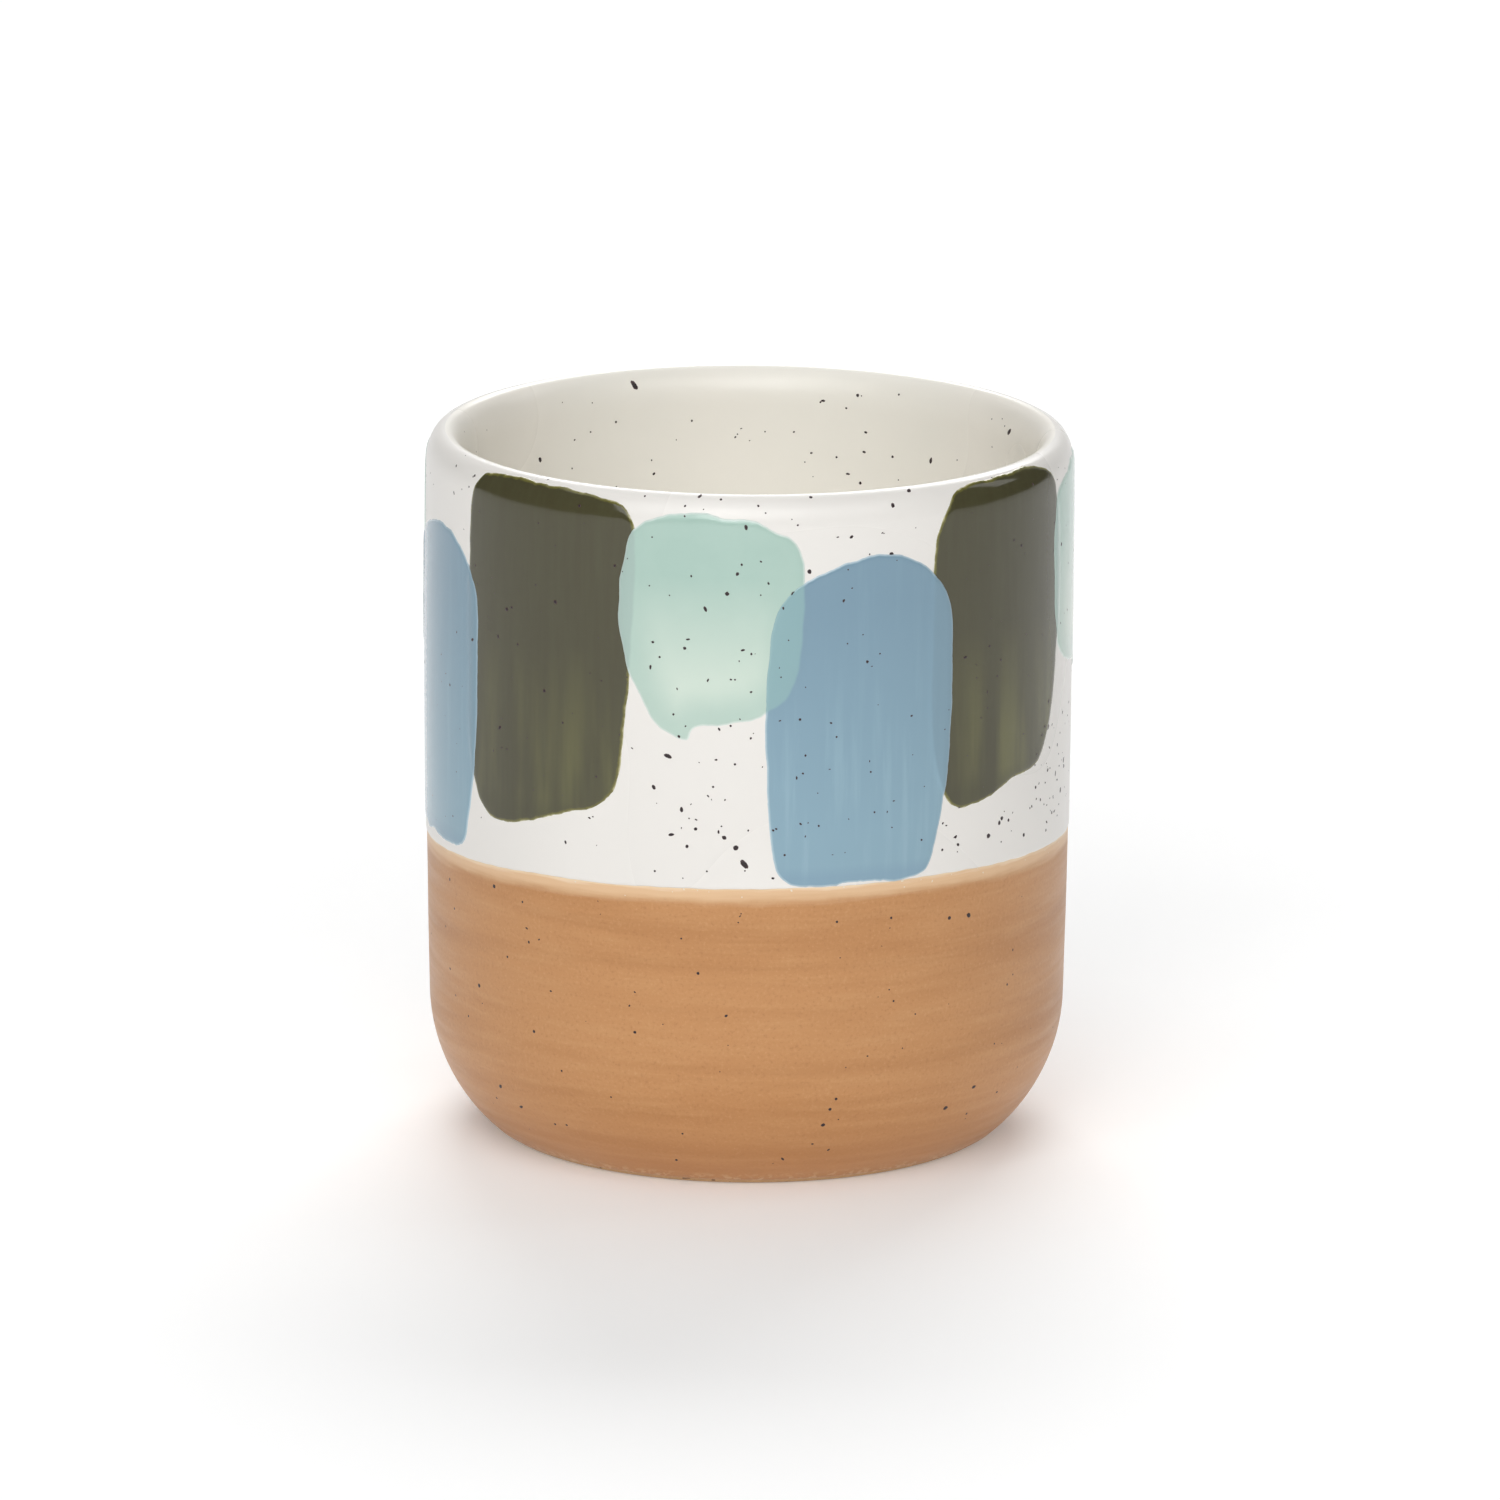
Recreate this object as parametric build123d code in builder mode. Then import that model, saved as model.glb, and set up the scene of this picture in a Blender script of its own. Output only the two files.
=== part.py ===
"""Handleless stoneware mug: a clay body, its slip and glaze coats, and twelve brush strokes of coloured glaze.

Units are millimetres. +Z is up and is the axis of the mug, and the origin is the centre of the foot, on the table.
Angles round the mug are in degrees from the front (-Y) towards +X.
"""

import os
from dataclasses import dataclass
from math import asin, copysign, cos, degrees, radians, sin, sqrt, tan

from build123d import *

# Fired outer size, coats included
overall_height = 99.0
belly_radius = 45.0
belly_height = 70.0
wall_bow_radius = 2450.0

# Coats, each measured square to the surface that it lies on
glaze_coat = 0.30
slip_coat = 0.18
stroke_coat = 0.15

# Clay wall
wall_thickness = 4.7
corner_radius = 24.2
foot_cut = 4.75
lip_round = 2.3
lip_inner_depth = 5.0
inner_corner_radius = 14.0
floor_thickness = 5.5

# Foot
foot_ring_width = 4.5
foot_recess = 1.5
foot_edge_round = 0.4
slip_above_table = 0.8

# The line where the white glaze stops, which dips a little to the left
dip_height = 44.4
dip_tilt = 0.7

# How far a stroke that rides over another reaches past the lower one's edge at full height
step_wrap = 0.4

# How far the prisms that cut the strokes out reach past the widest point of the mug
prism_margin = 0.6

clay_belly_radius = belly_radius - glaze_coat
clay_height = overall_height - glaze_coat
inner_radius = clay_belly_radius - wall_thickness
floor_height = foot_recess + floor_thickness
wall_centre = (clay_belly_radius - wall_bow_radius, belly_height)


def centre_inside_wall(round_radius, height):
    """Centre, at this height, of a round that meets the bowed wall on a common tangent."""
    reach = sqrt((wall_bow_radius - round_radius) ** 2 - (height - belly_height) ** 2)
    return (wall_centre[0] + reach, height)


def wall_angle(centre):
    """Angle, in degrees above the horizontal, of the tangent point between the wall and a round."""
    reach = sqrt((centre[0] - wall_centre[0]) ** 2 + (centre[1] - belly_height) ** 2)
    return degrees(asin((centre[1] - belly_height) / reach))


corner_centre = centre_inside_wall(corner_radius, corner_radius - foot_cut)
lip_centre = centre_inside_wall(lip_round, clay_height - lip_round)


def outside_edge(coat, start_height):
    """The outside of the mug from start_height, on the corner, to the top of the lip, coat mm outside the clay."""
    low, high = wall_angle(corner_centre), wall_angle(lip_centre)
    start = degrees(asin((start_height - corner_centre[1]) / (corner_radius + coat)))
    corner = CenterArc(corner_centre, corner_radius + coat, start, low - start)
    CenterArc(wall_centre, wall_bow_radius + coat, low, high - low)
    lip = CenterArc(lip_centre, lip_round + coat, high, 90 - high)
    return corner @ 0, lip @ 1


def inside_edge(coat):
    """The inside of the mug from the top of the lip to the middle of the floor, coat mm inside the clay."""
    radius = inner_radius - coat
    lip_middle = (lip_centre[0], clay_height - lip_inner_depth)
    lip_half_width = lip_centre[0] - radius
    lip = EllipticalCenterArc(lip_middle, lip_half_width, lip_inner_depth + coat, 90, arc_size=90)
    corner_middle = (inner_radius - inner_corner_radius, floor_height + inner_corner_radius)
    corner = CenterArc(corner_middle, inner_corner_radius - coat, 0, -90)
    Line((radius, lip_middle[1]), (radius, corner_middle[1]))
    Line(corner @ 1, (0, floor_height + coat))
    return (lip_centre[0], clay_height + coat), (0, floor_height + coat)


def outside_coat(inner, outer, start_height):
    """Closed section of a coat on the outside, between two distances from the clay."""
    inner_start, inner_end = outside_edge(inner, start_height)
    outer_start, outer_end = outside_edge(outer, start_height)
    Line(inner_start, outer_start)
    Line(inner_end, outer_end)


# The white glaze line: everything above this plane is glazed, everything below it is slipped
dip_plane = Plane(origin=(0, 0, dip_height), z_dir=(-tan(radians(dip_tilt)), 0, 1))

# Stoneware body: wall, floor and foot ring in one piece of clay
with BuildPart() as stoneware_body:
    with BuildSketch(Plane.XZ):
        with BuildLine():
            foot_outer, lip_top = outside_edge(0, 0)
            lip_start, floor_middle = inside_edge(0)
            recess_radius = foot_outer.X - foot_ring_width
            Polyline(floor_middle, (0, foot_recess), (recess_radius, foot_recess), (recess_radius, 0), foot_outer)
        make_face()
    revolve(axis=Axis.Z)
    foot_circles = stoneware_body.edges().filter_by(GeomType.CIRCLE).group_by(Axis.Z)
    fillet(foot_circles[0].sort_by(SortBy.RADIUS)[-1], foot_edge_round)
    recess_circles = stoneware_body.edges().filter_by(GeomType.CIRCLE).filter_by_position(
        Axis.Z, 0, foot_recess, (True, True)
    )
    recess_circles = recess_circles.filter_by(lambda edge: abs(edge.radius - recess_radius) < foot_edge_round / 2)
    fillet(recess_circles, foot_edge_round)

# Liner glaze: poured in and out, it covers the inside up to the top of the lip
with BuildPart() as liner_glaze:
    with BuildSketch(Plane.XZ):
        with BuildLine():
            clay_lip, clay_floor = inside_edge(0)
            glaze_lip, glaze_floor = inside_edge(glaze_coat)
            Line(clay_lip, glaze_lip)
            Line(clay_floor, glaze_floor)
        make_face()
    revolve(axis=Axis.Z)

# Outer glaze: from the top of the lip down to the dip line
with BuildPart() as outer_glaze:
    with BuildSketch(Plane.XZ):
        with BuildLine():
            outside_coat(0, glaze_coat, slip_above_table)
        make_face()
    revolve(axis=Axis.Z)
    split(bisect_by=dip_plane, keep=Keep.TOP)

# Base slip: brushed on below the dip line, and wiped off just above the table
with BuildPart() as base_slip:
    with BuildSketch(Plane.XZ):
        with BuildLine():
            outside_coat(0, slip_coat, slip_above_table)
        make_face()
    revolve(axis=Axis.Z)
    split(bisect_by=dip_plane, keep=Keep.BOTTOM)

# Brush strokes of coloured glaze. Each outline goes clockwise from its lower left, as
# (degrees to the right of the stroke's middle, share of the way up from the dip line to the rim).
blue_outline = [
    (-13.5, 0.035),
    (-16.5, 0.14),
    (-17.5, 0.36),
    (-17.3, 0.56),
    (-15.3, 0.72),
    (-7.5, 0.81),
    (4.0, 0.845),
    (12.0, 0.80),
    (17.0, 0.70),
    (17.5, 0.54),
    (17.0, 0.30),
    (14.5, 0.12),
    (11.0, 0.03),
    (-1.0, 0.022),
]
tall_olive_outline = [
    (-16.0, 0.15),
    (-18.8, 0.29),
    (-19.3, 0.58),
    (-19.2, 0.85),
    (-17.0, 0.94),
    (-12.0, 0.97),
    (0.0, 0.975),
    (13.0, 0.97),
    (17.8, 0.935),
    (19.1, 0.85),
    (18.5, 0.65),
    (17.2, 0.43),
    (14.6, 0.23),
    (4.0, 0.16),
    (-9.0, 0.11),
]
short_olive_outline = [
    (-15.3, 0.19),
    (-18.6, 0.36),
    (-18.7, 0.62),
    (-18.2, 0.84),
    (-15.5, 0.94),
    (-10.0, 0.97),
    (0.0, 0.975),
    (10.0, 0.97),
    (16.2, 0.93),
    (18.0, 0.84),
    (18.6, 0.63),
    (16.5, 0.38),
    (10.8, 0.23),
    (1.0, 0.20),
    (-9.0, 0.16),
]
mint_outline = [
    (-10.2, 0.43),
    (-15.0, 0.57),
    (-16.4, 0.73),
    (-14.3, 0.89),
    (-7.6, 0.95),
    (1.3, 0.95),
    (10.8, 0.925),
    (15.7, 0.86),
    (16.3, 0.69),
    (14.4, 0.515),
    (7.6, 0.44),
    (-2.0, 0.415),
    (-4.2, 0.38),
]


@dataclass
class Stroke:
    """One brush stroke: its node, its outline, where it is round the mug, and the strokes that it rides over."""

    name: str
    outline: list
    angle: float
    width: float = 1.0
    rides_over: tuple = ()


# Lowest layer first. A width below zero turns an outline left to right.
strokes = [
    Stroke("olive_stroke_1", tall_olive_outline, -39),
    Stroke("olive_stroke_2", short_olive_outline, 52.5),
    Stroke("olive_stroke_3", tall_olive_outline, 142, width=-0.97),
    Stroke("olive_stroke_4", short_olive_outline, 229, width=-1.0),
    Stroke("mint_stroke_1", mint_outline, -6.7, 1.0, ("olive_stroke_1",)),
    Stroke("mint_stroke_2", mint_outline, 85, -1.0, ("olive_stroke_2",)),
    Stroke("mint_stroke_3", mint_outline, 171, 0.95, ("olive_stroke_3",)),
    Stroke("mint_stroke_4", mint_outline, 258, -0.97, ("olive_stroke_4",)),
    Stroke("blue_stroke_1", blue_outline, -73, 1.05, ("mint_stroke_4", "olive_stroke_1")),
    Stroke("blue_stroke_2", blue_outline, 20.6, 1.0, ("mint_stroke_1", "olive_stroke_2")),
    Stroke("blue_stroke_3", blue_outline, 113, -0.98, ("mint_stroke_2", "olive_stroke_3")),
    Stroke("blue_stroke_4", blue_outline, 200, -1.0, ("mint_stroke_3", "olive_stroke_4")),
]


def stroke_prism(stroke, slide=0):
    """Prism from the axis outwards over a stroke's outline, or over the outline slid round by some millimetres."""
    turn = radians(stroke.angle) + slide / belly_radius
    dip_here = dip_height + belly_radius * sin(turn) * tan(radians(dip_tilt))
    facing = Plane(origin=(0, 0, 0), x_dir=(cos(turn), sin(turn), 0), z_dir=(sin(turn), -cos(turn), 0))
    with BuildPart() as prism:
        with BuildSketch(facing):
            with BuildLine():
                Spline(
                    *[
                        (
                            belly_radius * sin(radians(stroke.width * across)),
                            dip_here + share * (overall_height - dip_here),
                        )
                        for across, share in stroke.outline
                    ],
                    periodic=True,
                )
            make_face()
        extrude(amount=belly_radius + prism_margin)
    return prism.part


def stroke_shell(layer):
    """The whole outside of the mug, one stroke thick: layer 0 lies on the white glaze and layer 1 on other strokes."""
    inner = glaze_coat + layer * stroke_coat
    with BuildPart() as shell:
        with BuildSketch(Plane.XZ):
            with BuildLine():
                outside_coat(inner, inner + stroke_coat, slip_above_table)
            make_face()
        revolve(axis=Axis.Z)
    return shell.part


def raised_edge(stroke, lower):
    """The part of a stroke that lies on a lower one, and a little past its edge on the stroke's own side."""
    turn_to_stroke = (stroke.angle - lower.angle + 180) % 360 - 180
    covered = stroke_prism(lower, copysign(step_wrap, turn_to_stroke))
    with BuildPart() as edge:
        add(second_layer)
        add(prisms[stroke.name], mode=Mode.INTERSECT)
        add(covered, mode=Mode.INTERSECT)
    return edge.part


first_layer, second_layer = stroke_shell(0), stroke_shell(1)
stroke_named = {stroke.name: stroke for stroke in strokes}
prisms = {stroke.name: stroke_prism(stroke) for stroke in strokes}

stroke_parts = []
for stroke in strokes:
    raised_edges = [raised_edge(stroke, stroke_named[lower]) for lower in stroke.rides_over]
    with BuildPart() as brushed:
        add(first_layer)
        add(prisms[stroke.name], mode=Mode.INTERSECT)
        for lower in stroke.rides_over:
            add(prisms[lower], mode=Mode.SUBTRACT)
        for edge_part in raised_edges:
            add(edge_part)
    brushed.part.label = stroke.name
    stroke_parts.append(brushed.part)

stoneware_body.part.label = "stoneware_body"
liner_glaze.part.label = "liner_glaze"
outer_glaze.part.label = "outer_glaze"
base_slip.part.label = "base_slip"

os.makedirs("parts", exist_ok=True)
for piece in [stoneware_body.part, liner_glaze.part, outer_glaze.part, base_slip.part, *stroke_parts]:
    export_step(piece, f"parts/{piece.label}.step")
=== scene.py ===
import random
from math import asin, atan2, cos, hypot, pi, radians, sin, sqrt, tan

import bpy
import numpy as np
from mathutils import Matrix, Vector, noise


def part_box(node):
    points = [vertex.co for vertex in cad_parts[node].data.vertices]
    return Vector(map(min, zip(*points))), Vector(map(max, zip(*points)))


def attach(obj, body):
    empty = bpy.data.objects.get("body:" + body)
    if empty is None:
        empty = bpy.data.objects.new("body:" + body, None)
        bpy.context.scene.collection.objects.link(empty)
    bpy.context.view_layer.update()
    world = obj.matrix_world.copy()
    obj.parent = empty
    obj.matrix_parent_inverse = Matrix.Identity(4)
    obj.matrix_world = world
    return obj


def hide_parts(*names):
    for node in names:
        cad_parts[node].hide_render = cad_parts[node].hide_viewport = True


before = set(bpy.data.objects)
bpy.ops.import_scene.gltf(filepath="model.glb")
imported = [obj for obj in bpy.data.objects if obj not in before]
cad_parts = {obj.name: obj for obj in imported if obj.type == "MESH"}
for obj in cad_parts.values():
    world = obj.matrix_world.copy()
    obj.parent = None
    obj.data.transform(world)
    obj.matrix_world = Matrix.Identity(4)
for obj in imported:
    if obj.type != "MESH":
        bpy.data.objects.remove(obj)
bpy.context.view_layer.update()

bl_info = {
    "name": "Brushed stoneware mug",
    "version": (1, 0, 0),
    "blender": (4, 5, 0),
    "location": "3D View > Sidebar > Mug",
    "description": "Makes a handleless stoneware mug with brushed glaze strokes, in a plain studio",
    "category": "Object",
}

_, GLAZE_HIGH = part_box("outer_glaze")
MM = 0.001
ROOT = "root"

# Each stroke's outline goes clockwise from its lower left, as
# (degrees to the right of the stroke's middle, share of the way up from the dip line to the rim).
BLUE = [
    (-13.5, 0.010), (-16.5, 0.12), (-17.5, 0.36), (-17.3, 0.56), (-15.3, 0.72), (-7.5, 0.81), (4.0, 0.845),
    (12.0, 0.80), (17.0, 0.70), (17.5, 0.54), (17.0, 0.30), (14.5, 0.10), (11.0, 0.008), (-1.0, 0.006),
]
LOW_BLUE = [(across, share * 0.965) for across, share in BLUE]
TALL_OLIVE = [
    (-16.0, 0.15), (-18.8, 0.29), (-19.3, 0.58), (-19.2, 0.87), (-17.2, 0.965), (-13.5, 0.990),
    (0.0, 0.990), (13.0, 0.98), (17.8, 0.945), (19.1, 0.85), (18.5, 0.65), (17.2, 0.43), (14.6, 0.23),
    (4.0, 0.16), (-9.0, 0.11),
]
SHORT_OLIVE = [
    (-15.3, 0.19), (-18.6, 0.36), (-18.7, 0.62), (-18.2, 0.84), (-15.5, 0.94), (-11.5, 0.985), (0.0, 0.992),
    (10.0, 0.990), (16.2, 0.95), (18.0, 0.84), (18.6, 0.63), (16.5, 0.38), (10.8, 0.23), (1.0, 0.20),
    (-9.0, 0.16),
]
MINT = [
    (-10.2, 0.43), (-15.0, 0.57), (-16.4, 0.73), (-14.3, 0.89), (-7.6, 0.955), (1.3, 0.955), (10.8, 0.925),
    (15.7, 0.86), (16.3, 0.69), (14.4, 0.515), (7.6, 0.44), (-2.0, 0.415), (-4.2, 0.38),
]

# Stroke: the CAD node that it stands for, outline, degrees round the mug from the front, width (below zero
# turns the outline left to right), and the strokes that it was painted over.
STROKES = [
    ("olive_stroke_1", TALL_OLIVE, -39, 1.0, ()),
    ("olive_stroke_2", SHORT_OLIVE, 52.5, 1.0, ()),
    ("olive_stroke_3", TALL_OLIVE, 142, -0.97, ()),
    ("olive_stroke_4", SHORT_OLIVE, 229, -1.0, ()),
    ("mint_stroke_1", MINT, -6.7, 1.0, ("olive_stroke_1",)),
    ("mint_stroke_2", MINT, 85, -1.0, ("olive_stroke_2",)),
    ("mint_stroke_3", MINT, 171, 0.95, ("olive_stroke_3",)),
    ("mint_stroke_4", MINT, 258, -0.97, ("olive_stroke_4",)),
    ("blue_stroke_1", LOW_BLUE, -73.8, 1.05, ("mint_stroke_4", "olive_stroke_1")),
    ("blue_stroke_2", BLUE, 20.6, 1.0, ("mint_stroke_1", "olive_stroke_2")),
    ("blue_stroke_3", BLUE, 113, -0.98, ("mint_stroke_2", "olive_stroke_3")),
    ("blue_stroke_4", BLUE, 200, -1.0, ("mint_stroke_3", "olive_stroke_4")),
]

# Ragged edge of each colour: how far it wanders in mm, and over how many mm
RAGGED = {
    "olive": ((0.16, 2.2), (0.07, 0.6)),
    "mint": ((0.45, 4.0), (0.10, 1.1)),
    "blue": ((0.22, 3.0), (0.08, 0.7)),
}

# A stroke's mesh: points round it, then for its top and its underside how far the rings along the edge are
# from it in mm, and how many more are spread evenly to the middle
STROKE_POINTS = 300
EDGE_STEPS = [0.0, 0.06, 0.14, 0.25, 0.42, 0.7, 1.1, 1.7, 2.6]
INNER_STEPS = 16
UNDER_STEPS = [0.5, 2.0]
UNDER_INNER_STEPS = 6

# Iron specks that catch the eye: (degrees round from the front, height in mm, width in mm)
FRONT_SPECKS = [
    (18, 93.3, 0.55), (15.5, 93.4, 0.3), (-14, 62.8, 0.9), (-16.5, 58.3, 0.7), (-11.5, 55.4, 0.75),
    (-9, 52.8, 0.6), (-10.5, 50.3, 0.6), (-4, 51.7, 0.75), (-2, 50.3, 0.9), (-0.5, 48, 1.2),
    (-5, 52.5, 0.45), (-4.5, 53.3, 0.3), (-5.5, 62.6, 0.4), (-6, 58.8, 0.4), (-7, 46.9, 0.35),
    (-5, 66.9, 0.45), (-3, 67.4, 0.4), (0.5, 65.7, 0.4), (-20.5, 63.5, 0.3), (36.5, 48, 0.45),
    (47.5, 48.6, 0.9), (58, 47.1, 0.7), (53, 50, 0.6), (39.5, 49.5, 0.5), (62, 53.2, 0.6),
    (64, 51.1, 0.5), (67, 54.8, 0.6), (69.5, 48.3, 0.6), (74.5, 50.6, 0.8), (76.5, 54.5, 0.7),
    (72, 57.5, 0.6), (67, 47.4, 0.5), (60, 50.6, 0.4), (-58, 97.1, 0.45), (-59, 95.5, 0.35),
    (-65.5, 97.3, 0.4), (-9, 98.55, 0.6), (30, 98.4, 0.7), (26, 97, 0.7), (-2, 88.6, 0.6),
    (-7.5, 83.6, 0.65), (-10.5, 79.3, 0.45), (-15.5, 76.6, 0.4), (-10, 88.1, 0.35), (0.5, 77.5, 0.4),
    (0.5, 72.2, 0.4), (-7, 73.7, 0.4), (-3, 73.9, 0.35), (-12, 65.7, 0.5), (-17, 93.2, 0.3),
    (10.5, 88.8, 0.75), (25.5, 90.5, 0.7), (21, 75.8, 0.55), (10, 63.2, 0.4), (7.5, 85.8, 0.4),
    (8.5, 60.1, 0.4), (4.5, 52.8, 0.4), (5, 53, 0.35), (6.5, 49.3, 0.4), (14.5, 67.6, 0.35),
    (15.5, 65.6, 0.35), (41, 74.6, 0.55), (53.5, 89.4, 0.5),
]
INSIDE_SPECKS = [
    (-156, 97, 1.1), (-132, 88.4, 0.8), (-151.5, 92.1, 0.45), (-168, 91.5, 0.4), (-160, 84.1, 0.5),
    (160, 93.8, 0.4), (162, 86.6, 0.4), (156, 87.7, 0.55), (149.5, 87.5, 0.5), (140, 87.8, 0.75),
    (159.5, 84.3, 0.5), (114.5, 95.1, 1.0), (-141.5, 90.3, 0.35), (-145.5, 91.1, 0.35), (-177, 89, 0.35),
    (171, 89.9, 0.35), (165.5, 94.4, 0.35), (-159.5, 86.1, 0.3),
]
SLIP_SPECKS = [
    (-67, 38.6, 0.55), (-51, 40.4, 0.7), (-65, 34.8, 0.4), (-69.5, 31.4, 0.35), (-43.5, 39.3, 0.4),
    (-42.5, 35.7, 0.35), (-42, 33.8, 0.4), (-47.5, 30.9, 0.4), (-67.5, 25.7, 0.4), (-56, 25.4, 0.65),
    (-37, 27.5, 0.35), (-60, 20.3, 0.4), (-41, 21.2, 0.5), (-20, 23.4, 0.45), (-52, 11.5, 0.65),
    (-55, 9.2, 0.4), (-47.5, 9.1, 0.6), (-39.5, 7.6, 0.4), (-36.5, 7.9, 0.4), (-21, 27.1, 0.3),
    (-20, 29.1, 0.3), (-11.5, 37.2, 0.3), (-8.5, 32.4, 0.5), (-3.5, 26.5, 0.4), (16, 39.5, 0.4),
    (27, 27.5, 0.35), (31.5, 25.2, 0.3), (55.5, 31.1, 0.35), (54, 26.4, 0.4), (46.5, 12.8, 0.65),
    (54.5, 10.7, 0.4), (47, 8.6, 0.4), (16.5, 14.2, 0.45), (15.5, 12.7, 0.5), (14.5, 10.3, 0.6),
    (38.5, 38.1, 0.6), (43, 37.9, 0.75), (13, 7.3, 0.35), (16.5, 6.1, 0.4), (7.5, 4.9, 0.5),
    (-14, 4.3, 0.45), (-25, 13.6, 0.3),
]

# The raised speck takes this share of a listed width
SPECK_SHARE = 0.9

# Points round each turned piece
CLAY_AROUND = 256
LINER_AROUND = 360
COAT_AROUND = 720

# How far off the dip line the coats bend with it
DIP_REACH = 9 * MM

# How many more specks are scattered by chance
CHANCE_OUTSIDE = 480
CHANCE_CLUSTER = 34
CHANCE_INSIDE = 330
CHANCE_FLOOR = 60
CHANCE_SLIP = 90
CRUMBS = 70

# Soft lights that aim at the mug's middle: name, place, width and height in m, power in W
MIDDLE = Vector((0, 0, 0.05))
LIGHTS = [
    ("front_left_softbox", (-1.3, -2.6, 1.7), (2.4, 1.8), 29),
    ("front_softbox", (0, -3.0, 1.6), (2.0, 1.6), 33),
    ("front_right_softbox", (1.6, -2.2, 1.5), (1.8, 1.6), 13),
    ("high_front_softbox", (-0.4, -1.6, 2.6), (1.8, 1.4), 11),
    ("overhead_softbox", (-0.5, 0.3, 2.4), (2.4, 2.0), 15),
    ("right_strip", (2.3, 0.7, 1.5), (0.6, 1.2), 3),
    ("back_softbox", (0.3, 2.6, 2.2), (2.2, 1.4), 54),
]


# ---------------------------------------------------------------- sizes and colours


def length_property(name, description, default):
    """A length that a user can change."""
    return bpy.props.FloatProperty(name=name, description=description, default=default, unit="LENGTH")


class MugSizes(bpy.types.PropertyGroup):
    """The mug's fired sizes."""

    overall_height: length_property("Height", "From the table to the rim", GLAZE_HIGH[2])
    belly_radius: length_property("Belly radius", "Widest radius, glaze included", GLAZE_HIGH[0])
    belly_height: length_property("Belly height", "Where the wall is widest", 70 * MM)
    wall_bow_radius: length_property("Wall bow", "Radius of the wall's slight bow", 2450 * MM)
    wall_thickness: length_property("Wall", "Thickness of the clay wall", 4.7 * MM)
    corner_radius: length_property("Corner", "Round between wall and foot", 24.2 * MM)
    foot_cut: length_property("Foot cut", "How much of the round the foot cuts off", 4.75 * MM)
    foot_ring_width: length_property("Foot ring", "Width of the ring that it stands on", 4.5 * MM)
    foot_recess: length_property("Foot recess", "Depth inside the foot ring", 1.5 * MM)
    foot_edge_round: length_property("Foot edge", "Round of the foot ring's edges", 0.4 * MM)
    floor_thickness: length_property("Floor", "Thickness of the clay floor", 5.5 * MM)
    lip_round: length_property("Lip round", "Width of the lip's outer round", 2.3 * MM)
    lip_drop: length_property("Lip drop", "Height of the lip's outer round", 4.2 * MM)
    lip_inner_depth: length_property("Lip depth", "How far down the lip's inner curve goes", 5 * MM)
    inner_corner_radius: length_property("Inner corner", "Round between wall and floor inside", 14 * MM)
    dip_height: length_property("Dip line", "Height where the white glaze stops", 44.4 * MM)
    dip_tilt: bpy.props.FloatProperty(
        name="Dip tilt", description="Slope of the dip line, up to the right", default=radians(0.7),
        subtype="ANGLE",
    )
    slip_above_table: length_property("Slip edge", "Where the slip was wiped off", 0.8 * MM)
    glaze_coat: length_property("Glaze coat", "Thickness of the white glaze", 0.30 * MM)
    slip_coat: length_property("Slip coat", "Thickness of the slip", 0.18 * MM)
    stroke_coat: length_property("Stroke coat", "Thickness of a brush stroke", 0.13 * MM)
    hand_wander: length_property("Hand wander", "How far the round wanders, made by hand", 0.10 * MM)


def linear(code):
    """Linear colour, with alpha, of an sRGB hex code."""
    parts = [int(code[i:i + 2], 16) / 255 for i in (1, 3, 5)]
    return (*[p / 12.92 if p <= 0.04045 else ((p + 0.055) / 1.055) ** 2.4 for p in parts], 1.0)


def colour_property(name, description, code):
    """A colour that a user can change, from an sRGB hex code."""
    return bpy.props.FloatVectorProperty(
        name=name, description=description, default=linear(code), size=4, subtype="COLOR", min=0, max=1
    )


class MugColours(bpy.types.PropertyGroup):
    """The fired colours of the mug's clay, slip and glazes."""

    white: colour_property("White glaze", "Outside white", "#e8e5e0")
    liner: colour_property("Liner glaze", "Warm white inside", "#f4f0e7")
    slip: colour_property("Slip", "Tan slip on the lower half", "#c28c59")
    slip_thin: colour_property("Thin slip", "Slip under the dip line, thinner and paler", "#e1bc93")
    slip_thick: colour_property("Thick slip", "Slip where it lies thickest, redder", "#b47d4a")
    clay: colour_property("Clay", "Bare fired clay of the foot", "#cfa97e")
    olive: colour_property("Olive glaze", "Dark olive strokes", "#484530")
    olive_thin: colour_property("Thin olive", "Olive where it lies thin, yellower", "#6d6a37")
    mint: colour_property("Mint glaze", "Pale mint strokes", "#a8c4b9")
    mint_thin: colour_property("Thin mint", "Mint where it lies thin", "#ceddd0")
    blue: colour_property("Blue glaze", "Grey-blue strokes", "#7997a9")
    blue_thin: colour_property("Thin blue", "Blue where it lies thin", "#94b3c1")
    iron: colour_property("Iron specks", "Dark specks of iron in the glaze", "#24181b")


# ---------------------------------------------------------------- the clay's outline


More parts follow.
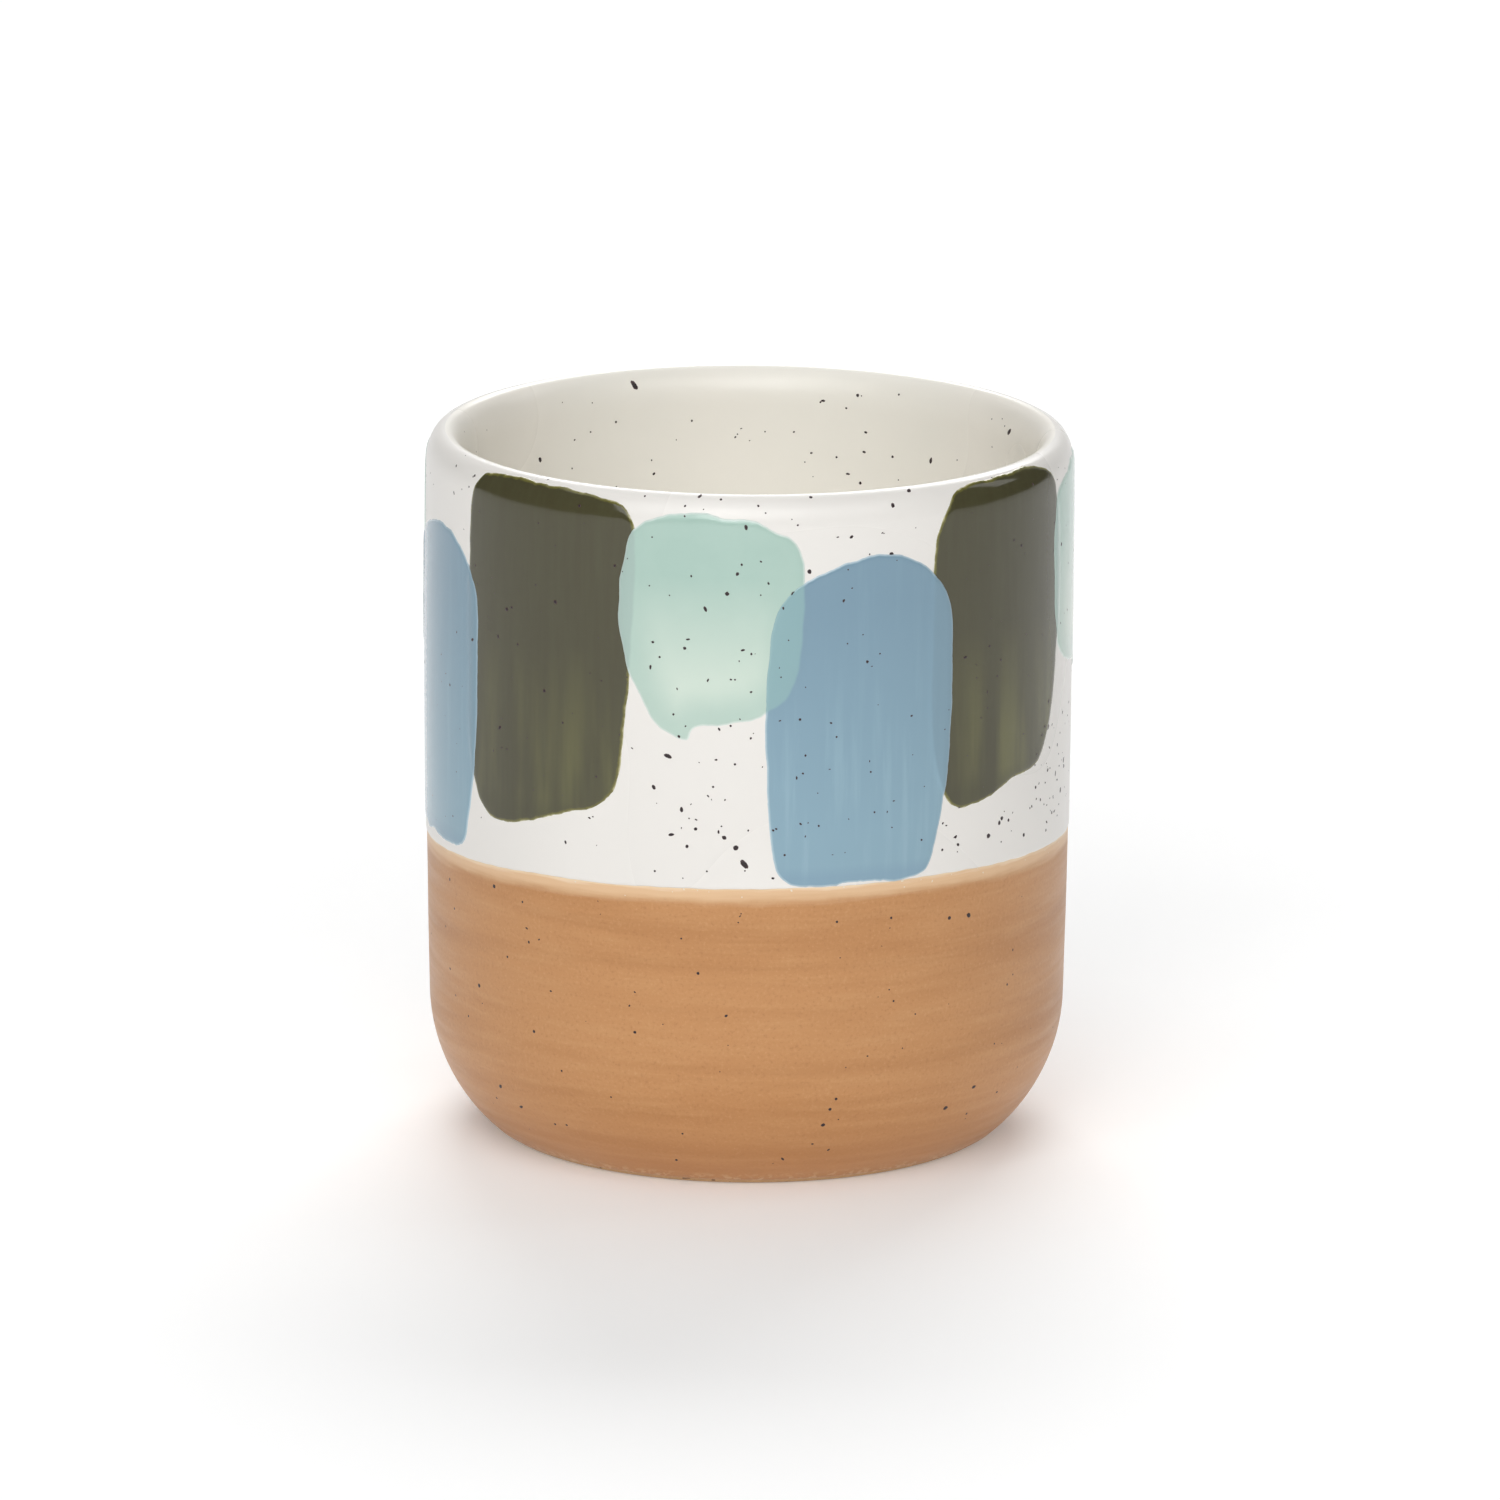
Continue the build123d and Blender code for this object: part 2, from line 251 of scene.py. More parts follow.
class ClayOutline:
    """Outside and inside of the bare clay, as the arcs that a template would have."""

    def __init__(self, sizes):
        self.sizes = s = sizes
        self.bow = s.wall_bow_radius
        self.belly = s.belly_height
        self.wall_x = s.belly_radius - s.glaze_coat - self.bow
        self.top = s.overall_height - s.glaze_coat
        self.inner = s.belly_radius - s.glaze_coat - s.wall_thickness
        self.floor = s.foot_recess + s.floor_thickness
        self.corner = self.round_centre(s.corner_radius, s.corner_radius - s.foot_cut)
        self.lip = self.round_centre(s.lip_round, self.top - s.lip_drop)
        self.low_angle = asin((self.corner[1] - self.belly)
                              / hypot(self.corner[0] - self.wall_x, self.corner[1] - self.belly))
        self.foot = self.corner[0] + sqrt(s.corner_radius ** 2 - self.corner[1] ** 2)

    def round_centre(self, radius, height):
        """Centre of a round that meets the bowed wall on a common tangent."""
        return self.wall_x + sqrt((self.bow - radius) ** 2 - (height - self.belly) ** 2), height

    def outside(self, height, coat=0.0):
        """Radius and height of the outside, coat above the clay, beside a height on the clay."""
        s = self.sizes
        if height > self.lip[1]:
            angle = asin(min(1.0, (height - self.lip[1]) / s.lip_drop))
            across, up = cos(angle) / s.lip_round, sin(angle) / s.lip_drop
            length = hypot(across, up)
            return (self.lip[0] + s.lip_round * cos(angle) + coat * across / length,
                    self.lip[1] + s.lip_drop * sin(angle) + coat * up / length)
        if height < self.corner[1] + s.corner_radius * sin(self.low_angle):
            centre, radius = self.corner, s.corner_radius
        else:
            centre, radius = (self.wall_x, self.belly), self.bow
        angle = asin(max(-1.0, (height - centre[1]) / radius))
        return centre[0] + (radius + coat) * cos(angle), centre[1] + (radius + coat) * sin(angle)

    def outside_run(self, start, end, step):
        """Heights up the clay's outside, closer together on the rounds."""
        foot_step, foot_height = 0.5 * MM, 6 * MM
        lip_step, lip_height = 0.25 * MM, self.lip[1] - 0.5 * MM
        heights = [start]
        while heights[-1] < end - 1e-9:
            z = heights[-1]
            go = lip_step if z > lip_height else foot_step if z < foot_height else step
            heights.append(min(end, z + go))
        return heights

    def inside_run(self, coat):
        """Points of the inside, coat above the clay, from the top of the lip to near the floor's middle."""
        s = self.sizes
        lip_steps, wall_steps, corner_steps = 14, 32, 12
        wall = self.inner - coat
        lip_middle = self.top - s.lip_inner_depth
        corner_middle = self.floor + s.inner_corner_radius
        points = []
        for i in range(lip_steps + 1):
            angle = pi / 2 + i * pi / (2 * lip_steps)
            points.append((self.lip[0] + (self.lip[0] - wall) * cos(angle),
                           lip_middle + (s.lip_inner_depth + coat) * sin(angle)))
        for i in range(1, wall_steps + 1):
            points.append((wall, lip_middle + (corner_middle - lip_middle) * i / wall_steps))
        for i in range(1, corner_steps + 1):
            angle = -i * pi / (2 * corner_steps)
            radius = s.inner_corner_radius - coat
            points.append((self.inner - s.inner_corner_radius + radius * cos(angle),
                           corner_middle + radius * sin(angle)))
        flat = points[-1][0]
        points += [(flat * share, self.floor + coat) for share in (0.85, 0.7, 0.55, 0.4, 0.25, 0.12, 0.04)]
        return points


def outline():
    """The clay's outline at the sizes that are set."""
    return ClayOutline(bpy.context.scene.mug_sizes)


# ---------------------------------------------------------------- modelling


def select_in_edit(obj, wanted):
    """Selects only the vertices whose place passes the test, in edit mode."""
    bpy.ops.object.mode_set(mode="EDIT")
    bpy.ops.mesh.select_mode(type="VERT")
    bpy.ops.mesh.select_all(action="DESELECT")
    bpy.ops.object.mode_set(mode="OBJECT")
    for vertex in obj.data.vertices:
        vertex.select = bool(wanted(vertex.co))
    bpy.ops.object.mode_set(mode="EDIT")


def throw(name, section, around, poles=False):
    """Pulls a section up and round, ring by ring, as on a wheel.

    The section is a list of (radius, height). It closes on itself, or with poles, on the axis at both ends.
    """
    bpy.ops.object.select_all(action="DESELECT")
    radius, height = section[0]
    bpy.ops.mesh.primitive_circle_add(vertices=around, radius=radius, location=(0, 0, 0))
    obj = bpy.context.object
    obj.name = obj.data.name = name
    bpy.ops.object.mode_set(mode="EDIT")
    bpy.ops.mesh.select_all(action="SELECT")
    bpy.ops.transform.translate(value=(0, 0, height))
    for next_radius, next_height in section[1:]:
        bpy.ops.mesh.extrude_edges_move(TRANSFORM_OT_translate={"value": (0, 0, next_height - height)})
        grow = next_radius / radius
        bpy.ops.transform.resize(value=(grow, grow, 1), center_override=(0, 0, next_height))
        radius, height = next_radius, next_height
    bpy.ops.mesh.select_all(action="DESELECT")
    bpy.ops.mesh.select_non_manifold(extend=False, use_wire=False, use_multi_face=False,
                                     use_non_contiguous=False, use_verts=False)
    if poles:
        bpy.ops.mesh.fill_holes(sides=0)
        bpy.ops.mesh.poke()
    else:
        bpy.ops.mesh.bridge_edge_loops()
    face_outwards()
    bpy.ops.object.shade_smooth_by_angle(angle=radians(50))
    return obj


def face_outwards():
    """Turns all faces of the active piece, which is closed, outwards, and ends in object mode."""
    bpy.ops.object.mode_set(mode="EDIT")
    bpy.ops.mesh.select_all(action="SELECT")
    bpy.ops.mesh.normals_make_consistent(inside=False)
    bpy.ops.object.mode_set(mode="OBJECT")


def places_of(obj):
    """The mesh's points as an array."""
    found = np.empty(len(obj.data.vertices) * 3)
    obj.data.vertices.foreach_get("co", found)
    return found.reshape(-1, 3)


def put_places(obj, places):
    """Moves the mesh's points to these places."""
    obj.data.vertices.foreach_set("co", np.asarray(places, dtype=np.float64).ravel())
    obj.data.update()


def ramp(value, low, high):
    """Smooth step from 0 at low to 1 at high."""
    t = max(0.0, min(1.0, (value - low) / (high - low)))
    return t * t * (3 - 2 * t)


def hand_shift(x, y, z, wander):
    """How far the potter's hand left a point off the true round, along its radius."""
    here = Vector((x, y, z))
    swell = noise.noise(here / (42 * MM) + Vector((3.1, 7.7, 1.3)))
    finger_marks = noise.noise(here / (11 * MM) + Vector((9.2, 0.4, 5.8)))
    # The foot and the middle of the floor stay true
    above_foot, off_middle = ramp(z, 2 * MM, 12 * MM), ramp(hypot(x, y), 8 * MM, 30 * MM)
    return wander * (swell + 0.22 * finger_marks) * above_foot * off_middle


def settle(obj):
    """Gives a finished piece the pot's slight unevenness, and keeps it from standing above the lip.

    Every piece takes the same unevenness, so they stay face to face.
    """
    s = bpy.context.scene.mug_sizes
    places = places_of(obj)
    places[:, 2] = np.minimum(places[:, 2], s.overall_height)
    for place in places:
        radius = hypot(place[0], place[1])
        if radius > 0:
            grow = 1 + hand_shift(*place, s.hand_wander) / radius
            place[0] *= grow
            place[1] *= grow
    put_places(obj, places)


def dip_wave(turn):
    """How far the dip line is above its middle height, round the mug."""
    s = bpy.context.scene.mug_sizes
    x, y = s.belly_radius * sin(turn), -s.belly_radius * cos(turn)
    sag = 1.5 * MM * sin(turn) ** 4
    slow = noise.noise(Vector((x, y, 0)) / (16 * MM)) * 0.16 * MM
    fine = noise.noise(Vector((x, y, 0.1)) / (1.8 * MM)) * 0.09 * MM
    return x * tan(s.dip_tilt) - sag + slow + fine


def follow_dip_line(obj, reach):
    """Bends the rings near the dip line so that they follow it, less and less further off."""
    middle = bpy.context.scene.mug_sizes.dip_height
    places = places_of(obj)
    for place in places:
        off = abs(place[2] - middle)
        if off < reach:
            place[2] += dip_wave(atan2(place[0], -place[1])) * (1 - ramp(off, 1 * MM, reach))
    put_places(obj, places)


def add_values(obj, name, values):
    """Keeps one number for each point of a piece, for its material."""
    field = obj.data.attributes.new(name, "FLOAT", "POINT")
    field.data.foreach_set("value", np.asarray(values, dtype=np.float32))


def hand_over(obj, slot, *nodes):
    """Puts a piece on the mug's body, in place of its CAD nodes. The slot is not used."""
    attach(obj, ROOT)
    if nodes:
        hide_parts(*nodes)


# ---------------------------------------------------------------- materials


def empty_material(name):
    """A material with no nodes yet."""
    material = bpy.data.materials.new(name)
    material.use_nodes = True
    material.node_tree.nodes.clear()
    return material


def add(material, kind, inputs=None, output=0, **settings):
    """Adds a shader node of any kind, sets and links its inputs, and gives back one of its outputs.

    An input is named or numbered, and is another node's output, a number, a vector or an sRGB hex code.
    """
    node = material.node_tree.nodes.new("ShaderNode" + kind)
    for key, value in settings.items():
        setattr(node, key, value)
    for key, value in (inputs or {}).items():
        if isinstance(value, bpy.types.NodeSocket):
            material.node_tree.links.new(value, node.inputs[key])
        else:
            node.inputs[key].default_value = linear(value) if isinstance(value, str) else value
    return node.outputs[output] if node.outputs else None


def per(size_mm):
    """A pattern's scale from its size in mm."""
    return 1000 / size_mm


def stain(m, body, pattern, limits, colour, strength=1.0, curve="LINEAR", least=0.0):
    """Mixes a colour into the body, more and more as a pattern goes from the first limit to the second."""
    share = add(m, "MapRange", {"Value": pattern, "From Min": limits[0], "From Max": limits[1],
                                "To Min": least, "To Max": strength}, interpolation_type=curve)
    return add(m, "Mix", {0: share, 6: body, 7: colour}, 2, data_type="RGBA")


def fire(m, body, roughness, relief, ior=1.5):
    """Closes a material with its relief, a list of (pattern, depth), and the fired surface over it."""
    level = {}
    for pattern, depth in relief:
        level = {"Normal": add(m, "Bump", {"Height": pattern, "Distance": depth, **level})}
    surface = add(m, "BsdfPrincipled", {"Base Color": body, "Roughness": roughness, "IOR": ior, **level})
    add(m, "OutputMaterial", {"Surface": surface})
    return m


def satin_glaze(name, colour, pool_colour):
    """Satin white stoneware glaze, dipped: soft reflections off a thick, gently waved coat, with barely
    visible clouds where it pooled.
    """
    m = empty_material(name)
    here = add(m, "TexCoord", {}, "Object")
    clouds = add(m, "TexNoise", {"Vector": here, "Scale": per(24), "Detail": 0})
    body = stain(m, colour, clouds, (0.35, 0.65), pool_colour, curve="SMOOTHSTEP")
    satin = add(m, "MapRange", {"Value": clouds, "From Min": 0.35, "From Max": 0.65, "To Min": 0.27,
                                "To Max": 0.31}, interpolation_type="SMOOTHSTEP")
    # A thick coat melts into soft waves
    waves = add(m, "TexNoise", {"Vector": here, "Scale": per(9), "Detail": 0})
    return fire(m, body, satin, [(waves, 0.03 * MM)])


def tan_slip_material():
    """Tan slip brushed on while the pot turned: level brush lines and a fine sandy grain, satin, thinner and
    paler under the dip line, darker and redder towards the foot, and rubbed pale along its lower edge.
    """
    c = bpy.context.scene.mug_colours
    m = empty_material("brushed_tan_slip")
    here = add(m, "TexCoord", {}, "Object")
    height = add(m, "SeparateXYZ", {"Vector": here}, "Z")
    # Brush hairs are near 0.4 mm apart and their lines run far round the pot
    round_the_pot = add(m, "Mapping", {"Vector": here, "Scale": (0.07, 0.07, 1)})
    hairs = add(m, "TexNoise", {"Vector": round_the_pot, "Scale": per(1.1), "Detail": 4,
                                "Roughness": 0.6})
    bands = add(m, "TexNoise", {"Vector": round_the_pot, "Scale": per(4.5), "Detail": 3,
                                "Roughness": 0.55})
    sand = add(m, "TexNoise", {"Vector": here, "Scale": per(0.45), "Detail": 3, "Roughness": 0.6})
    body = stain(m, c.slip_thick, bands, (0.30, 0.60), c.slip, 1, "SMOOTHSTEP", 0.25)
    body = stain(m, body, hairs, (0.45, 0.72), "#d0a06d", 0.22, "SMOOTHSTEP")
    body = stain(m, body, sand, (0.55, 0.78), "#dcae80", 0.28)
    body = stain(m, body, sand, (0.44, 0.26), "#9c6137", 0.35)
    # Darker and redder over the lowest 14 mm, towards the foot
    body = stain(m, body, height, (14 * MM, 1 * MM), c.slip_thick, 0.5, "SMOOTHSTEP")
    # The paler band under the dip line has a soft uneven lower edge
    below = add(m, "Attribute", {}, "Fac", attribute_name="below_line")
    uneven = add(m, "TexNoise", {"Vector": round_the_pot, "Scale": per(0.7), "Detail": 4})
    below = add(m, "Math", {0: uneven, 1: 1.4 * MM, 2: below}, operation="MULTIPLY_ADD")
    body = stain(m, body, below, (3.4 * MM, 1.5 * MM), c.slip_thin, 1, "SMOOTHSTEP")
    body = stain(m, body, below, (1.25 * MM, 0.75 * MM), "#efd6b6", 0.9, "SMOOTHSTEP")
    # Rubbed grains along the foot's edge
    grains = add(m, "TexNoise", {"Vector": here, "Scale": per(0.9), "Detail": 3})
    grains = add(m, "MapRange", {"Value": grains, "From Min": 0.50, "From Max": 0.60})
    low = add(m, "MapRange", {"Value": height, "From Min": 2.2 * MM, "From Max": 0.9 * MM})
    rubbed = add(m, "Math", {0: grains, 1: low}, operation="MULTIPLY")
    body = stain(m, body, rubbed, (0, 1), c.clay)
    satin = add(m, "MapRange", {"Value": hairs, "From Min": 0.3, "From Max": 0.7, "To Min": 0.44,
                                "To Max": 0.35})
    return fire(m, body, satin, [(bands, 0.06 * MM), (hairs, 0.015 * MM), (sand, 0.012 * MM)])


def clay_material():
    """Bare fired stoneware at the foot: dry, sandy buff clay with scattered iron spots."""
    m = empty_material("bare_buff_stoneware")
    here = add(m, "TexCoord", {}, "Object")
    sand = add(m, "TexNoise", {"Vector": here, "Scale": per(0.6), "Detail": 4})
    body = stain(m, bpy.context.scene.mug_colours.clay, sand, (0.35, 0.70), "#c4a076")
    spots = add(m, "TexNoise", {"Vector": here, "Scale": per(1.5), "Detail": 1})
    body = stain(m, body, spots, (0.68, 0.72), "#5d4030", 0.75)
    dents = add(m, "TexNoise", {"Vector": here, "Scale": per(3.5)})
    return fire(m, body, 0.8, [(dents, 0.06 * MM), (sand, 0.05 * MM)])


def stain_laps(m, body, laps):
    """Tints a stroke where a lower stroke shows through it. Each lap is (attribute, colour, strength)."""
    for name, colour, strength in laps:
        lap = add(m, "Attribute", {}, "Fac", attribute_name=name)
        body = stain(m, body, lap, (-0.15 * MM, 0.35 * MM), colour, strength, "SMOOTHSTEP")
    return body


def fire_brushed(m, body, roughness, wave_depth):
    """The surface of all brushed glazes: melted glossy, with faint ridges left along the brush's way."""
    here = add(m, "TexCoord", {}, "Object")
    along_brush = add(m, "Mapping", {"Vector": here, "Scale": (1, 1, 0.16)})
    ridges = add(m, "TexNoise", {"Vector": along_brush, "Scale": per(1.8), "Detail": 3})
    waves = add(m, "TexNoise", {"Vector": here, "Scale": per(8), "Detail": 1})
    dimples = add(m, "TexNoise", {"Vector": here, "Scale": per(0.8), "Detail": 2})
    rough = add(m, "MapRange", {"Value": dimples, "From Min": 0.3, "From Max": 0.7,
                                "To Min": roughness * 0.8, "To Max": roughness * 1.25})
    relief = [(waves, wave_depth * MM), (ridges, 0.006 * MM), (dimples, 0.004 * MM)]
    return fire(m, body, rough, relief, 1.52)


def olive_material():
    """Dark olive gloss glaze: nearly opaque, yellower where the brush lifted and in streaks low down, with a
    thin fringe of cream where it runs out over the white.
    """
    c = bpy.context.scene.mug_colours
    m = empty_material("brushed_olive_glaze")
    here = add(m, "TexCoord", {}, "Object")
    edge = add(m, "Attribute", {}, "Fac", attribute_name="edge")
    up = add(m, "Attribute", {}, "Fac", attribute_name="up")
    along_brush = add(m, "Mapping", {"Vector": here, "Scale": (1, 1, 0.10)})
    hairs = add(m, "TexNoise", {"Vector": along_brush, "Scale": per(1.5), "Detail": 4, "Roughness": 0.6})
    body = stain(m, c.olive, hairs, (0.35, 0.75), "#52523a", 0.35)
    # Yellow-green streaks low down, where the brush pressed
    streaks = add(m, "TexNoise", {"Vector": along_brush, "Scale": per(5), "Detail": 3})
    streaks = add(m, "MapRange", {"Value": streaks, "From Min": 0.40, "From Max": 0.70},
                  interpolation_type="SMOOTHSTEP")
    low = add(m, "MapRange", {"Value": up, "From Min": 0.55, "From Max": 0.20})
    streaks = add(m, "Math", {0: streaks, 1: low}, operation="MULTIPLY")
    body = stain(m, body, streaks, (0, 1), "#6c6b42", 0.75)
    # Glaze ran down and pooled at the bottom
    body = stain(m, body, up, (0.10, 0.05), "#46442e", 0.5)
    uneven = add(m, "TexNoise", {"Vector": here, "Scale": per(1.2), "Detail": 2})
    edge = add(m, "Math", {0: uneven, 1: -0.5 * MM, 2: edge}, operation="MULTIPLY_ADD")
    body = stain(m, body, edge, (0.25 * MM, -0.10 * MM), c.olive_thin, 1, "SMOOTHSTEP")
    body = stain(m, body, edge, (-0.10 * MM, -0.28 * MM), "#cdc79f", 0.8)
    return fire_brushed(m, body, 0.10, 0.05)


def mint_material():
    """Pale mint gloss glaze: soft edged, deeper in a ring where it ran out, paler in its lower middle."""
    c = bpy.context.scene.mug_colours
    m = empty_material("brushed_mint_glaze")
    here = add(m, "TexCoord", {}, "Object")
    edge = add(m, "Attribute", {}, "Fac", attribute_name="edge")
    up = add(m, "Attribute", {}, "Fac", attribute_name="up")
    cloudy = add(m, "TexNoise", {"Vector": here, "Scale": per(6), "Detail": 3})
    body = stain(m, c.mint, cloudy, (0.40, 0.70), "#b4cdc2", 0.35)
    inner = add(m, "MapRange", {"Value": edge, "From Min": 1.0 * MM, "From Max": 6.5 * MM,
                                "To Min": 0.35}, interpolation_type="SMOOTHSTEP")
    low = add(m, "MapRange", {"Value": up, "From Min": 0.72, "From Max": 0.22})
    pale = add(m, "Math", {0: inner, 1: low}, operation="MULTIPLY")
    body = stain(m, body, pale, (0, 1), c.mint_thin)
    body = stain(m, body, edge, (0.40 * MM, 0.03 * MM), "#e9eeea", 0.7, "SMOOTHSTEP")
    body = stain_laps(m, body, [("lap_olive", "#a1b7b0", 0.75)])
    return fire_brushed(m, body, 0.16, 0.03)


def blue_material():
    """Grey-blue gloss glaze: streaked pale along the brush low down, where it thins, and deeper where it
    pooled above the dip line.
    """
    c = bpy.context.scene.mug_colours
    m = empty_material("brushed_blue_glaze")
    here = add(m, "TexCoord", {}, "Object")
    edge = add(m, "Attribute", {}, "Fac", attribute_name="edge")
    up = add(m, "Attribute", {}, "Fac", attribute_name="up")
    along_brush = add(m, "Mapping", {"Vector": here, "Scale": (1, 1, 0.06)})
    hairs = add(m, "TexNoise", {"Vector": along_brush, "Scale": per(1.6), "Detail": 4, "Roughness": 0.6})
    body = stain(m, c.blue, up, (0.85, 0.15), "#87a7b7")
    hairs = add(m, "MapRange", {"Value": hairs, "From Min": 0.46, "From Max": 0.74},
                interpolation_type="SMOOTHSTEP")
    low = add(m, "MapRange", {"Value": up, "From Min": 0.65, "From Max": 0.30, "To Min": 0.10,
                              "To Max": 0.45})
    streaks = add(m, "Math", {0: hairs, 1: low}, operation="MULTIPLY")
    body = stain(m, body, streaks, (0, 1), c.blue_thin)
    body = stain(m, body, up, (0.065, 0.03), "#7d9cb0", 0.55)
    body = stain(m, body, edge, (0.40 * MM, 0.03 * MM), "#bccfd8", 0.85, "SMOOTHSTEP")
    body = stain_laps(m, body, [("lap_mint", "#8cb0b2", 0.8), ("lap_olive", "#7793a2", 0.6)])
    return fire_brushed(m, body, 0.14, 0.03)


def iron_material():
    """Iron burnt through the glaze: near black and dull, with a red-brown rim where it bled."""
    m = empty_material("melted_iron_specks")
    here = add(m, "TexCoord", {}, "Object")
    heart = add(m, "Attribute", {}, "Fac", attribute_name="heart")
    body = stain(m, "#55393a", heart, (0.0, 0.45), bpy.context.scene.mug_colours.iron)
    crust = add(m, "TexNoise", {"Vector": here, "Scale": per(0.25), "Detail": 2})
    return fire(m, body, 0.4, [(crust, 0.01 * MM)])


def crumb_material():
    """Crumbs of white glaze that dripped below the dip line, stained by the slip."""
    m = empty_material("white_glaze_crumbs")
    here = add(m, "TexCoord", {}, "Object")
    pits = add(m, "TexNoise", {"Vector": here, "Scale": per(0.7)})
    body = stain(m, bpy.context.scene.mug_colours.white, pits, (0, 1), "#e6d3b8")
    return fire(m, body, 0.4, [(pits, 0.01 * MM)])


# ---------------------------------------------------------------- strokes


def colour_of(name):
    """A stroke's colour, the first word of its name."""
    return name.split("_")[0]


def stroke_outline(name):
    """A stroke's closed outline, as points of (way round the wall from the stroke's middle, height)."""
    s = bpy.context.scene.mug_sizes
    number = [row[0] for row in STROKES].index(name)
    _, corners, angle, width, _ = STROKES[number]
    middle = radians(angle)
    dip = s.dip_height + s.belly_radius * sin(middle) * tan(s.dip_tilt)
    knots = np.array([
        (radians(width * across) * s.belly_radius, dip + share * (s.overall_height - dip))
        for across, share in corners
    ])
    if width < 0:
        knots = knots[::-1]
    # A smooth closed curve through the corners, then even points along it
    before, after, next_after = np.roll(knots, 1, 0), np.roll(knots, -1, 0), np.roll(knots, -2, 0)
    points_between = 40
    t = np.linspace(0, 1, points_between, endpoint=False)[None, :, None]
    curve = 0.5 * (
        2 * knots[:, None] + (after - before)[:, None] * t
        + (2 * before - 5 * knots + 4 * after - next_after)[:, None] * t ** 2
        + (3 * knots - before - 3 * after + next_after)[:, None] * t ** 3
    )
    curve = curve.reshape(-1, 2)
    gaps = np.linalg.norm(np.roll(curve, -1, 0) - curve, axis=1)
    along = np.concatenate([[0], np.cumsum(gaps)])
    wanted = np.linspace(0, along[-1], STROKE_POINTS, endpoint=False)
    closed = np.vstack([curve, curve[:1]])
    points = np.stack([np.interp(wanted, along, closed[:, i]) for i in (0, 1)], axis=1)
    tangent = np.roll(points, -1, 0) - np.roll(points, 1, 0)
    outward = np.stack([-tangent[:, 1], tangent[:, 0]], axis=1)
    outward /= np.linalg.norm(outward, axis=1)[:, None]
    for i, (point, out) in enumerate(zip(points, outward)):
        # The hairs of the brush leave the ends more ragged than the sides
        ends = 0.6 + 0.8 * abs(out[1])
        for wander, length in RAGGED[colour_of(name)]:
            here = Vector((point[0] / (length * MM), point[1] / (length * MM), 10.0 * number))
            point += out * wander * MM * ends * noise.noise(here)
    return points


def depth_inside(points, polygon):
    """How far each point is inside a closed outline, below zero outside it."""
    # Some thousand points at a time, to spare memory
    batch = 2000
    start, end = polygon, np.roll(polygon, -1, 0)
    run = end - start
    result = np.empty(len(points))
    for first in range(0, len(points), batch):
        part = points[first:first + batch][:, None]
        t = ((part - start) * run).sum(-1) / (run ** 2).sum(-1)
        nearest = start + np.clip(t, 0, 1)[..., None] * run
        gap = np.linalg.norm(part - nearest, axis=-1).min(1)
        crosses = (start[:, 1] > part[..., 1]) != (end[:, 1] > part[..., 1])
        with np.errstate(divide="ignore", invalid="ignore"):
            at = run[:, 0] * (part[..., 1] - start[:, 1]) / run[:, 1] + start[:, 0]
        inside = (crosses & (part[..., 0] < at)).sum(1) % 2 == 1
        result[first:first + batch] = np.where(inside, gap, -gap)
    return result


def other_side(points, angle, other_angle):
    """Moves points from one stroke's own coordinates to another's."""
    s = bpy.context.scene.mug_sizes
    turn = radians((angle - other_angle + 180) % 360 - 180)
    return points + np.array([turn * s.belly_radius, 0])


def stroke_rise(depth):
    """Height of a stroke's surface above what it lies on: it starts tucked in, swells at its rim and levels
    off.
    """
    coat = bpy.context.scene.mug_sizes.stroke_coat
    d = np.maximum(depth, 0) / MM
    swell = 0.14 * coat * np.exp(-((d - 0.8) / 0.5) ** 2)
    rise = coat * (1 - np.exp(-d / 0.22)) + swell
    tucked_in = -0.02 * MM
    return np.where(depth <= 0.01 * MM, tucked_in, rise)


def flat_pad(name):
    """A flat round pad with a stroke's rings.

    Gives back the pad, and for each of its points the ring, the place along the ring, and whether it is on
    the underside. Ring 0 is the edge, and the middle has ring -1.
    """
    gap = 0.01
    rings = len(EDGE_STEPS) + INNER_STEPS
    under_rings = len(UNDER_STEPS) + UNDER_INNER_STEPS
    top = [(gap * (i + 1), 0.0) for i in range(rings)]
    under = [(gap * (rings - 1 - i), -gap) for i in range(under_rings)]
    obj = throw(name, top + under, STROKE_POINTS, poles=True)
    flat = places_of(obj)
    radius = np.hypot(flat[:, 0], flat[:, 1])
    below = flat[:, 2] < -gap / 2
    ring = rings - np.rint(radius / gap).astype(int) - below
    ring[radius < gap / 2] = -1
    turn = np.arctan2(flat[:, 1], flat[:, 0]) / (2 * pi)
    column = np.rint(turn * STROKE_POINTS).astype(int) % STROKE_POINTS
    return obj, ring, column, below


def spread_inside(edge_line, ring, column, below):
    """Lays the pad's rings out inside a stroke's outline, close together along its edge."""
    centre = (edge_line.min(0) + edge_line.max(0)) / 2
    to_centre = centre - edge_line
    reach = np.linalg.norm(to_centre, axis=1)
    sheet = np.empty((len(ring), 2))
    for i, (k, j, under) in enumerate(zip(ring, column, below)):
        edge, steps = (UNDER_STEPS, UNDER_INNER_STEPS) if under else (EDGE_STEPS, INNER_STEPS)
        last = edge[-1] * MM
        if k < 0:
            go = reach[j]
        elif k < len(edge):
            go = edge[k] * MM
        else:
            go = last + (reach[j] - last) * (k - len(edge) + 1) / (steps + 1)
        sheet[i] = edge_line[j] + to_centre[j] / reach[j] * go
    return sheet


